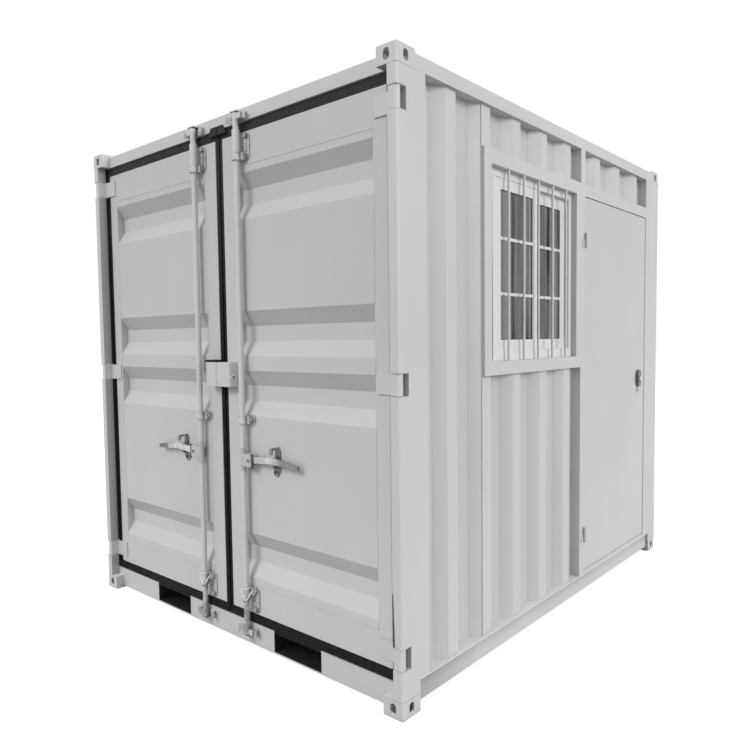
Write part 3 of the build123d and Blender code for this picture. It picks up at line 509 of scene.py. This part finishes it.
FINISH = {
    "corner_castings": casting_paint, "front_posts": post_paint, "front_header": steel,
    "front_sill": steel, "sill_boxes": end_paint, "rear_posts": rear_post_paint,
    "rear_rails": steel, "top_side_rails": steel, "bottom_side_rails": base_paint,
    "floor_joists": undercoat, "tunnel_walls": undercoat, "tunnel_plates": end_paint,
    "floor_deck": wood, "left_wall": side_wall_paint, "side_wall_front": side_wall_paint,
    "side_wall_window_bay": side_wall_paint, "side_wall_over_door": side_wall_paint,
    "rear_wall": rear_wall_paint, "roof": roof_paint, "window_surround": steel,
    "window_guard_bars": guard_paint, "window_frame": white_plastic,
    "window_sashes": white_plastic, "window_glass": glass, "side_door_frame": steel,
    "side_door_pins": steel, "side_door_knuckles": steel, "side_door_leaf": door_paint,
    "side_door_lock": lock_finish, "cargo_hinge_mounts": steel, "rod_keepers": keeper_zinc,
}
for side, _ in SIDES:
    FINISH[f"{side}_door_frame"] = FINISH[f"{side}_door_panel"] = door_paint
    FINISH[f"{side}_door_hinges"] = steel
    FINISH[f"{side}_lock_box"] = lock_box_paint
    FINISH[f"{side}_door_gasket"] = seal
    FINISH[f"{side}_lock_rod"] = tube_paint
    FINISH[f"{side}_rod_guides"] = zinc
    FINISH[f"{side}_handle_catch"] = catch_zinc
    FINISH[f"{side}_door_handle"] = bar_zinc[side]

for name, node in nodes.items():
    node.data.materials.clear()
    node.data.materials.append(FINISH[name])


# ------------------------------------------------------------------ mesh tools
# out of the cargo doors, and out of the side door
OUTWARDS, SIDEWAYS = (0, -1, 0), (1, 0, 0)


def piece(name, mesh, body, material, smooth=False):
    """Finished object from a bmesh, riding on a body."""
    bmesh.ops.recalc_face_normals(mesh, faces=mesh.faces)
    data = bpy.data.meshes.new(name)
    mesh.to_mesh(data)
    mesh.free()
    data.polygons.foreach_set("use_smooth", [smooth] * len(data.polygons))
    obj = bpy.data.objects.new(name, data)
    bpy.context.scene.collection.objects.link(obj)
    data.materials.append(material)
    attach(obj, body)


def block(mesh, low, high):
    """Box between two corners, its edges left for the shader to round."""
    made = bmesh.ops.create_cube(mesh, size=1)["verts"]
    centre, size = (Vector(low) + Vector(high)) / 2, Vector(high) - Vector(low)
    for v in made:
        v.co = Vector(c * s for c, s in zip(v.co, size)) + centre


def drum(mesh, centre, normal, radius, height, sides=24, top=None):
    """Round or many-sided boss standing on a point, top being its other end's radius."""
    turn = Vector((0, 0, 1)).rotation_difference(Vector(normal)).to_matrix().to_4x4()
    place = Matrix.Translation(Vector(centre) + Vector(normal) * height / 2) @ turn
    bmesh.ops.create_cone(mesh, cap_ends=True, segments=sides, radius1=radius,
                          radius2=radius if top is None else top, depth=height, matrix=place)


def bolt(mesh, at, normal, across):
    """Hexagon head with a chamfered crown on a washer, from its width across the flats."""
    n = Vector(normal)
    r = across / math.sqrt(3)
    washer, head, crown = 0.12 * across, 0.42 * across, 0.1 * across
    drum(mesh, at, n, 1.3 * r, washer, 20)
    drum(mesh, Vector(at) + n * washer, n, r, head, 6)
    drum(mesh, Vector(at) + n * (washer + head), n, 0.97 * r, crown, 6, 0.8 * r)


def ring(centre, radius, x_axis, y_axis, count=24):
    """Points round a circle, from its two axes."""
    turns = (2 * math.pi * k / count for k in range(count))
    return [Vector(centre) + (Vector(x_axis) * math.cos(a) + Vector(y_axis) * math.sin(a)) * radius
            for a in turns]


def tube(mesh, path, radius, sides=6, closed=False, uneven=0.0, pick=None):
    """Round bead along points, its thickness uneven where asked."""
    rings = []
    count = len(path)
    for i, p in enumerate(path):
        before = path[(i - 1) % count] if closed or i else path[0]
        after = path[(i + 1) % count] if closed or i < count - 1 else path[-1]
        along = (Vector(after) - Vector(before)).normalized()
        across = along.orthogonal().normalized()
        if abs(along.z) < 0.9:
            across = along.cross(Vector((0, 0, 1))).normalized()
        r = radius * (1 + uneven * (pick.uniform(-1, 1) if pick else 0))
        rings.append([mesh.verts.new(v) for v in ring(p, r, across, across.cross(along), sides)])
    pairs = list(zip(rings, rings[1:])) + ([(rings[-1], rings[0])] if closed else [])
    for a, b in pairs:
        for k in range(sides):
            mesh.faces.new((a[k], a[(k + 1) % sides], b[(k + 1) % sides], b[k]))
    if not closed:
        mesh.faces.new(rings[0])
        mesh.faces.new(rings[-1])


def steps(path, pitch):
    """Points along a broken line, about one pitch apart."""
    out = [Vector(path[0])]
    for a, b in zip(path, path[1:]):
        a, b = Vector(a), Vector(b)
        count = max(1, round((b - a).length / pitch))
        out += [a.lerp(b, (k + 1) / count) for k in range(count)]
    return out


def weld(mesh, path, radius):
    """Hand-laid weld bead, in short steps of uneven thickness."""
    tube(mesh, steps(path, 0.008), radius, uneven=0.18, pick=pick)


# every random draw comes from here, in the order of the pieces
pick = random.Random(7)
BEAD, THIN_BEAD = 0.0032, 0.003


# ------------------------------------------------------------------ welds on the walls
def wave_path(start, end, first, pitch):
    """(distance, depth) corners of the corrugation between two distances."""
    corners = []
    at = first - pitch * (int((first - start) / pitch) + 2)
    while at < end + pitch:
        corners += [(at - SLOPE, WAVE_DEPTH), (at, 0.0),
                    (at + CREST_W, 0.0), (at + CREST_W + SLOPE, WAVE_DEPTH)]
        at += pitch

    def depth(p):
        for (a, da), (b, db) in zip(corners, corners[1:]):
            if a <= p <= b:
                return da + (db - da) * (p - a) / (b - a)
        return WAVE_DEPTH

    between = [c for c in corners if start < c[0] < end]
    return [(start, depth(start))] + between + [(end, depth(end))]


def sheet_run(box, first, pitch):
    """Start, end, first crest, pitch, bottom and top of the sheet that fills a box."""
    low, high = box
    return low.y - front_y, high.y - front_y, first, pitch, low.z, high.z


INSIDE_SHEET = 0.001
bay_low, bay_high = solids("side_wall_window_bay")
over_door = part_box("side_wall_over_door")
wall_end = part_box("left_wall")[1].y - front_y
wall_first = WALL_START + FIRST
sheet_runs = [
    (-1, (WALL_START, wall_end, wall_first, PITCH, base_top, rail_under)),
    (1, (WALL_START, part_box("side_wall_front")[1].y - front_y, wall_first, PITCH, base_top,
         rail_under)),
    (1, sheet_run(bay_low, wall_first, PITCH)),
    (1, sheet_run(bay_high, wall_first, PITCH)),
    (1, sheet_run(over_door, over_door[0].y - front_y + DOOR_FIRST, DOOR_PITCH)),
]
welds = bmesh.new()
for sign, (start, end, first, pitch, low, high) in sheet_runs:
    run = [(mid_x + sign * (half_w - SHEET_INSET - d), front_y + p)
           for p, d in wave_path(start, end, first, pitch)]
    for z in (low + INSIDE_SHEET, high - INSIDE_SHEET):
        weld(welds, [(x, y, z) for x, y in run], BEAD)
    for (x, y), inward in ((run[0], INSIDE_SHEET), (run[-1], -INSIDE_SHEET)):
        weld(welds, [(x, y + inward, low), (x, y + inward, high)], THIN_BEAD)
rear_lo, rear_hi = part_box("rear_wall")
run = wave_path(rear_lo.x - mid_x, rear_hi.x - mid_x, -CREST_W / 2, PITCH)
for z in (rear_lo.z + INSIDE_SHEET, rear_hi.z - INSIDE_SHEET):
    weld(welds, [(mid_x + p, back_y - SHEET_INSET - d, z) for p, d in run], BEAD)
piece("wall_welds", welds, "cabin", weld_paint, True)

# ------------------------------------------------------------------ floor boards
BOARD_COUNT, BOARD_GAP, BOARD_T = 11, 0.002, 0.004
BOARD_JOINTS = (0.66, 0.38)
deck_lo, deck_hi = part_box("floor_deck")
board_w = (deck_hi.x - deck_lo.x) / BOARD_COUNT
boards = bmesh.new()
for i in range(BOARD_COUNT):
    x0 = deck_lo.x + i * board_w + BOARD_GAP
    joint = deck_lo.y + (deck_hi.y - deck_lo.y) * BOARD_JOINTS[i % 2]
    for y0, y1 in ((deck_lo.y + BOARD_GAP, joint - BOARD_GAP / 2),
                   (joint + BOARD_GAP / 2, deck_hi.y - BOARD_GAP)):
        block(boards, (x0, y0, deck_hi.z), (x0 + board_w - BOARD_GAP, y1, deck_hi.z + BOARD_T))
piece("floor_boards", boards, "cabin", wood)


# ------------------------------------------------------------------ cargo doors
def ends(low, high, sign):
    """Inner and outer x of a box on one side of the cabin."""
    return (low.x, high.x) if sign > 0 else (high.x, low.x)


def panel_seam(side, body, face):
    """Bead where the pressed panel is welded into the leaf's frame."""
    low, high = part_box(f"{side}_door_panel")
    profile = {}
    for v in nodes[f"{side}_door_panel"].data.vertices:
        z, y = round(v.co.z, 5), round(v.co.y, 5)
        profile[z] = min(y, profile.get(z, y))
    outline = sorted(profile.items())
    last = len(outline) - 1
    outline = [p for i, p in enumerate(outline)
               if i in (0, last) or p[0] - outline[i - 1][0] > 0.004]
    sunk = 0.0012
    seam = bmesh.new()
    for z in (low.z, high.z):
        weld(seam, [(low.x, face + sunk, z), (high.x, face + sunk, z)], BEAD)
    for x in (low.x, high.x):
        weld(seam, [(x, y + sunk, z) for z, y in outline], BEAD)
    piece(f"{side}_panel_seam", seam, body, weld_paint, True)


def gasket_ribs(side, sign, body, leaf_lo, leaf_hi):
    """Two ribs round the rubber seal, at shares of its width."""
    seal_lo, seal_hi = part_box(f"{side}_door_gasket")
    seal_in, seal_out = ends(seal_lo, seal_hi, sign)
    leaf_in, leaf_out = ends(leaf_lo, leaf_hi, sign)
    seal_top = rail_under - 0.005
    ribs = bmesh.new()
    for share, depth in ((0.35, 0.0046), (0.72, 0.0050)):
        x0 = leaf_in + (seal_in - leaf_in) * share
        x1 = leaf_out + (seal_out - leaf_out) * share
        z0 = leaf_lo.z + (seal_lo.z - leaf_lo.z) * share
        z1 = leaf_hi.z + (seal_top - leaf_hi.z) * share
        y = leaf_lo.y + depth
        tube(ribs, [(x0, y, z0), (x1, y, z0), (x1, y, z1), (x0, y, z1)], 0.0016, 8, True)
    piece(f"{side}_gasket_ribs", ribs, body, seal, True)


def guide_bolts(side, body, guides):
    """Bolts through the rod guides' plates: two on the tall ones, one on the short."""
    plate_t, from_edge, from_end, head, tall = 0.005, 0.023, 0.016, 0.019, 0.1
    bolts = bmesh.new()
    for low, high in guides:
        levels = ((low.z + high.z) / 2,)
        if high.z - low.z > tall:
            levels = (low.z + from_end, high.z - from_end)
        for z in levels:
            bolt(bolts, (high.x - from_edge, high.y - plate_t, z), OUTWARDS, head)
    piece(f"{side}_guide_bolts", bolts, body, bolt_zinc)


# dark bracket, painted shadow of the slot between fork and handle: its upright and two ends,
# how far out from the fork, bottom and top from the pivot
SLOT_SHADOW = ((0.0045, -0.031, 0.031), (0.010, 0.026, 0.032), (0.010, -0.034, -0.028))


def fork_trim(side, sign):
    """Pivot bolt on the rod's fork, and a dark bracket down the fork's end: painted shadow of the
    slot between fork and handle.
    """
    rod_lo, rod_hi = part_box(f"{side}_lock_rod")
    fork_y, pivot_r, crown_r, pivot_t = rod_lo.y + 0.0035, 0.0075, 0.006, 0.003
    pivot = bmesh.new()
    drum(pivot, (mid_x + sign * PIVOT_X, fork_y, PIVOT_Z), OUTWARDS, pivot_r, pivot_t, 20, crown_r)
    piece(f"{side}_pivot_bolt", pivot, f"{side}_rod", dark_bolt_and_shadow)

    # its back stays in front of the handle's plane
    shadow_front, shadow_back, lap = rod_lo.y + 0.004, rod_lo.y + 0.010, 0.002
    fork_end = ends(rod_lo, rod_hi, sign)[1]
    slot_shadow = bmesh.new()
    for out, low, high in SLOT_SHADOW:
        x0, x1 = sorted((fork_end - sign * lap, fork_end + sign * out))
        block(slot_shadow, (x0, shadow_front, PIVOT_Z + low), (x1, shadow_back, PIVOT_Z + high))
    piece(f"{side}_fork_slot_shadow", slot_shadow, f"{side}_rod", dark_bolt_and_shadow)


def catch_tab(side, sign, body):
    """Padlock tab under the handle's catch, with its two bolts."""
    tab_r, tab_t, tab_top, off_centre = 0.017, 0.0062, 0.040, 0.010
    low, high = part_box(f"{side}_handle_catch")
    x, z = (low.x + high.x) / 2 - sign * off_centre, low.z + 0.003
    tab = bmesh.new()
    drum(tab, (x, high.y, z), OUTWARDS, tab_r, tab_t)
    block(tab, (x - tab_r, high.y - tab_t, z), (x + tab_r, high.y, low.z + tab_top))
    piece(f"{side}_catch_tab", tab, body, catch_zinc)
    bolt_x, levels, head = x - 0.004, (0.005, 0.031), 0.010
    bolts = bmesh.new()
    for up in levels:
        bolt(bolts, (bolt_x, high.y - tab_t, low.z + up), OUTWARDS, head)
    piece(f"{side}_catch_bolts", bolts, body, dark_bolt_and_shadow)


# rolled lip from the low guide's strap: across and above from the rod at the guide's top, and
# depth behind the cabin's front
LIP = ((-0.0155, 0.0070, -0.006), (-0.0145, 0.0052, -0.014), (-0.0105, 0.0042, -0.028),
       (-0.0030, 0.0040, -0.040), (0.0060, 0.0044, -0.050), (0.0145, 0.0070, -0.058),
       (0.0190, 0.0130, -0.046), (0.0235, 0.0200, -0.033), (0.0280, 0.0280, -0.020),
       (0.0340, 0.0370, -0.008), (0.0420, 0.0435, 0.000))
LIP_WIRE, COLLAR_WIRE, COLLAR_R = 0.0036, 0.0024, 0.0190
ROD_IN_GUIDE, ROD_DEPTH = 0.021, 0.022


def guide_lip(side, body, guide):
    """Rolled lip on the low guide's folded strap, painted bright as its highlight, and the collar
    round the rod over it, in the same bright paint.
    """
    rod_x, top = guide[0].x + ROD_IN_GUIDE, guide[1].z
    lip = bmesh.new()
    path = [(rod_x + across, front_y + depth, top + above) for across, depth, above in LIP]
    tube(lip, steps(path, 0.006), LIP_WIRE, 8)
    collar = ring((rod_x, front_y + ROD_DEPTH, top), COLLAR_R, (1, 0, 0), (0, 1, 0))
    tube(lip, collar, COLLAR_WIRE, 8, True)
    piece(f"{side}_guide_lip", lip, body, highlight_paint, True)


def lock_box_trim(side, sign, body):
    """Lip that closes the lock box at the joint; an eye on the right, painted bright as a
    highlight, and on the left a black strip along the top, painted shadow.
    """
    box_lo, box_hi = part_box(f"{side}_lock_box")
    lip_t, lip_depth, half_gap = 0.004, 0.034, 0.0007
    x0, x1 = sorted((mid_x + sign * half_gap, ends(box_lo, box_hi, sign)[0]))
    lip = bmesh.new()
    block(lip, (x0, box_lo.y, box_lo.z), (x1, box_lo.y + lip_t, box_hi.z))
    block(lip, (x0, box_lo.y + lip_t, box_hi.z - lip_t), (x1, box_lo.y + lip_depth, box_hi.z))
    piece(f"{side}_lock_box_lip", lip, body, steel)
    if sign > 0:
        eye_r, eye_wire, bore_r, bore_t = 0.0115, 0.0036, 0.0082, 0.0012
        at = Vector((box_hi.x + 0.002, box_lo.y + 0.024, box_lo.z + 0.044))
        eye = bmesh.new()
        tube(eye, ring(at, eye_r, (0, 1, 0), (0, 0, 1)), eye_wire, 8, True)
        piece("lock_box_eye", eye, body, highlight_paint, True)
        bore = bmesh.new()
        drum(bore, at - Vector((0.0025, 0, 0)), SIDEWAYS, bore_r, bore_t)
        piece("lock_box_bore", bore, body, bolt_zinc)
    else:
        strip = bmesh.new()
        block(strip, (box_lo.x - 0.012, box_lo.y + 0.002, box_hi.z),
              (mid_x - 0.010, box_hi.y - 0.001, box_hi.z + 0.010))
        piece("lock_box_top_shadow", strip, body, seal)


for side, sign in SIDES:
    body = f"{side}_cargo_door"
    leaf_lo, leaf_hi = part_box(f"{side}_door_frame")
    guides = solids(f"{side}_rod_guides")
    panel_seam(side, body, leaf_lo.y)
    gasket_ribs(side, sign, body, leaf_lo, leaf_hi)
    guide_bolts(side, body, guides)
    fork_trim(side, sign)
    catch_tab(side, sign, body)
    guide_lip(side, body, guides[0])
    lock_box_trim(side, sign, body)

# ------------------------------------------------------------------ round the cargo doorway
# plates over and under each hinge, near and far from it, just inside the post's two faces
SHIM_NEAR, SHIM_FAR, SHIM_DEPTH = 0.0014, 0.0052, 0.055
SHIM_UNDER_SIDE, SHIM_UNDER_FRONT = 0.0008, 0.0006
shims = bmesh.new()
for side, sign in SIDES:
    x0, x1 = sorted((mid_x + sign * (half_w - POST_FACE),
                     mid_x + sign * (half_w - SHIM_UNDER_SIDE)))
    y0, y1 = front_y + SHIM_UNDER_FRONT, front_y + SHIM_DEPTH
    for low, high in solids(f"{side}_door_hinges"):
        block(shims, (x0, y0, high.z + SHIM_NEAR), (x1, y1, high.z + SHIM_FAR))
        block(shims, (x0, y0, low.z - SHIM_FAR), (x1, y1, low.z - SHIM_NEAR))
piece("hinge_shims", shims, "cabin", steel)

# black strips on the sill, from the pockets up to the door seals: painted shadow
STRIP_FRONT, STRIP_BACK = 0.0016, 0.0001
sill_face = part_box("front_sill")[0].y
edge_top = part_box("left_door_gasket")[0].z - 0.001
pocket_shadows = bmesh.new()
for _, sign in SIDES:
    x0, x1 = sorted((mid_x + sign * POCKET_IN, mid_x + sign * POCKET_OUT))
    block(pocket_shadows, (x0, sill_face - STRIP_FRONT, POCKET_TOP),
          (x1, sill_face - STRIP_BACK, edge_top))
piece("pocket_shadows", pocket_shadows, "cabin", seal)

KEEPER_T, KEEPER_BOLT_X, KEEPER_BOLT = 0.005, 0.034, 0.012
keeper_bolts = bmesh.new()
for low, high in solids("rod_keepers"):
    x, z = (low.x + high.x) / 2, (low.z + high.z) / 2
    for across in (-KEEPER_BOLT_X, KEEPER_BOLT_X):
        bolt(keeper_bolts, (x + across, high.y - KEEPER_T, z), OUTWARDS, KEEPER_BOLT)
piece("keeper_bolts", keeper_bolts, "cabin", bolt_zinc)

# ------------------------------------------------------------------ side door
leaf_lo, leaf_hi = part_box("side_door_leaf")
face = leaf_hi.x
# strips in the gap at the leaf's closing edge, foot and head: each from a back, low corner to
# a front, high one, with the depths given behind the leaf's face
REBATE = (
    ((0.012, leaf_hi.y + 0.0022, leaf_lo.z), (0.0003, leaf_hi.y + 0.0125, leaf_hi.z + 0.004)),
    ((0.016, leaf_lo.y + 0.001, leaf_lo.z - 0.0085), (0.0015, leaf_hi.y, leaf_lo.z - 0.002)),
    ((0.016, leaf_lo.y + 0.001, leaf_hi.z + 0.0025), (0.0045, leaf_hi.y, leaf_hi.z + 0.0100)),
)
rebate = bmesh.new()
for (back, y0, z0), (front, y1, z1) in REBATE:
    block(rebate, (face - back, y0, z0), (face - front, y1, z1))
piece("side_door_rebate", rebate, "cabin", steel)

# lock: round-ended backing plate, and the rose of its cylinder under it
PLATE_R, PLATE_T, ROSE_R, ROSE_T = 0.040, 0.0022, 0.024, 0.0020
plate_y = (lock_lo.y + lock_hi.y) / 2 - 0.006
plate_low, plate_high, rose_z = lock_lo.z + 0.072, lock_hi.z - PLATE_R, lock_lo.z + 0.014
plate = bmesh.new()
for z, radius, thick in ((plate_high, PLATE_R, PLATE_T), (plate_low, PLATE_R, PLATE_T),
                         (rose_z, ROSE_R, ROSE_T)):
    drum(plate, (face, plate_y, z), SIDEWAYS, radius, thick, 40)
block(plate, (face, plate_y - PLATE_R, plate_low), (face + PLATE_T, plate_y + PLATE_R, plate_high))
piece("side_door_lock_plate", plate, "side_door", lock_finish)

# ------------------------------------------------------------------ window
GLAZING_BEAD, OFF_PANE = 0.002, 0.0002
pane_seals = bmesh.new()
for low, high in solids("window_glass"):
    y0, y1 = low.y + GLAZING_BEAD, high.y - GLAZING_BEAD
    z0, z1 = low.z + GLAZING_BEAD, high.z - GLAZING_BEAD
    for x in (high.x + OFF_PANE, low.x - OFF_PANE):
        tube(pane_seals, [(x, y0, z0), (x, y1, z0), (x, y1, z1), (x, y0, z1)],
             GLAZING_BEAD, 6, True)
piece("pane_seals", pane_seals, "cabin", seal, True)

# dark strip down the jamb that the sash closes on, painted shadow of the surround's edge, set in
# from the frame's edge by this many times the frame's own depth behind the wall's face
SHADOW_LINE_IN = 1.68
window_lo, window_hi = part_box("window_frame")
shadow_line_y = window_lo.y + SHADOW_LINE_IN * (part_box("window_surround")[1].x - window_hi.x)
shadow_line = bmesh.new()
block(shadow_line, (window_hi.x - 0.001, shadow_line_y - 0.003, window_lo.z + 0.004),
      (window_hi.x + 0.0008, shadow_line_y + 0.006, window_hi.z - 0.004))
piece("window_shadow_line", shadow_line, "cabin", shadow_line_grey)

# ------------------------------------------------------------------ stage
FLOOR_SPAN, FLOOR_Z = 60.0, -0.0008
FLOOR_ALBEDO, FLOOR_GLOW, AMBIENT = 0.33, 0.85, 0.55
# name, strength, angle in degrees, direction of the light's source
LAMPS = (("side", 1.75, 36, (0.90, 0.13, 0.34)), ("front", 1.55, 30, (-0.17, -0.79, 0.59)))


def seen_by(tree):
    """1 for camera, glossy and transmission rays."""
    rays = tree.nodes.new("ShaderNodeLightPath")
    total = rays.outputs["Is Camera Ray"]
    for name in ("Is Glossy Ray", "Is Transmission Ray"):
        both = tree.nodes.new("ShaderNodeMath")
        both.operation = "MAXIMUM"
        tree.links.new(total, both.inputs[0])
        tree.links.new(rays.outputs[name], both.inputs[1])
        total = both.outputs[0]
    return total


def shader(tree, kind, **inputs):
    """New shader node with plain values at its inputs."""
    node = tree.nodes.new("ShaderNode" + kind)
    for key, value in inputs.items():
        node.inputs[key].default_value = value
    return node


def joined(tree, kind, a, b, output):
    """New shader that joins two others and feeds a new output node."""
    node = tree.nodes.new("ShaderNode" + kind)
    tree.links.new(a.outputs[0], node.inputs[-2])
    tree.links.new(b.outputs[0], node.inputs[-1])
    tree.links.new(node.outputs[0], tree.nodes.new("ShaderNode" + output).inputs["Surface"])
    return node


corners = [(-1, -1), (1, -1), (1, 1), (-1, 1)]
floor = bpy.data.meshes.new("floor")
floor.from_pydata([(FLOOR_SPAN * x, FLOOR_SPAN * y, FLOOR_Z) for x, y in corners],
                  [], [(0, 1, 2, 3)])
floor_obj = bpy.data.objects.new("floor", floor)
bpy.context.scene.collection.objects.link(floor_obj)

ground = bpy.data.materials.new("floor_white")
ground.use_nodes = True
tree = ground.node_tree
tree.nodes.clear()
matt = shader(tree, "BsdfDiffuse", Color=(FLOOR_ALBEDO,) * 3 + (1,))
glow = shader(tree, "Emission", Color=(FLOOR_GLOW,) * 3 + (1,))
tree.links.new(seen_by(tree), glow.inputs["Strength"])
joined(tree, "AddShader", matt, glow, "OutputMaterial")
floor.materials.append(ground)

world = bpy.data.worlds.new("studio")
bpy.context.scene.world = world
world.use_nodes = True
tree = world.node_tree
tree.nodes.clear()
ambient = shader(tree, "Background", Color=(1, 1, 1, 1), Strength=AMBIENT)
white = shader(tree, "Background", Color=(1, 1, 1, 1), Strength=1.0)
mix = joined(tree, "MixShader", ambient, white, "OutputWorld")
tree.links.new(seen_by(tree), mix.inputs["Fac"])

for name, strength, angle, towards in LAMPS:
    sun_data = bpy.data.lights.new(name, "SUN")
    sun_data.energy = strength
    sun_data.angle = math.radians(angle)
    sun = bpy.data.objects.new(name, sun_data)
    sun.rotation_euler = Vector(towards).to_track_quat("Z", "Y").to_euler()
    bpy.context.scene.collection.objects.link(sun)

# ------------------------------------------------------------------ camera
EYE = Vector((2.6315, -3.2830, 1.4436))
YAW, PITCH_UP, ROLL = 0.72297, -0.05882, -0.01301
LENS, SENSOR = 32.04, 36
forward = Vector((-math.sin(YAW) * math.cos(PITCH_UP), math.cos(YAW) * math.cos(PITCH_UP),
                  math.sin(PITCH_UP)))
flat_right = Vector((math.cos(YAW), math.sin(YAW), 0))
flat_up = flat_right.cross(forward)
right = flat_right * math.cos(ROLL) + flat_up * math.sin(ROLL)
up = flat_up * math.cos(ROLL) - flat_right * math.sin(ROLL)
camera_data = bpy.data.cameras.new("camera")
camera_data.lens = LENS
camera_data.sensor_width = SENSOR
camera_data.clip_end = 200
camera = bpy.data.objects.new("camera", camera_data)
camera.matrix_world = Matrix((
    (right.x, up.x, -forward.x, EYE.x),
    (right.y, up.y, -forward.y, EYE.y),
    (right.z, up.z, -forward.z, EYE.z),
    (0, 0, 0, 1)))
bpy.context.scene.collection.objects.link(camera)
bpy.context.scene.camera = camera
bpy.context.scene.view_settings.view_transform = "Standard"
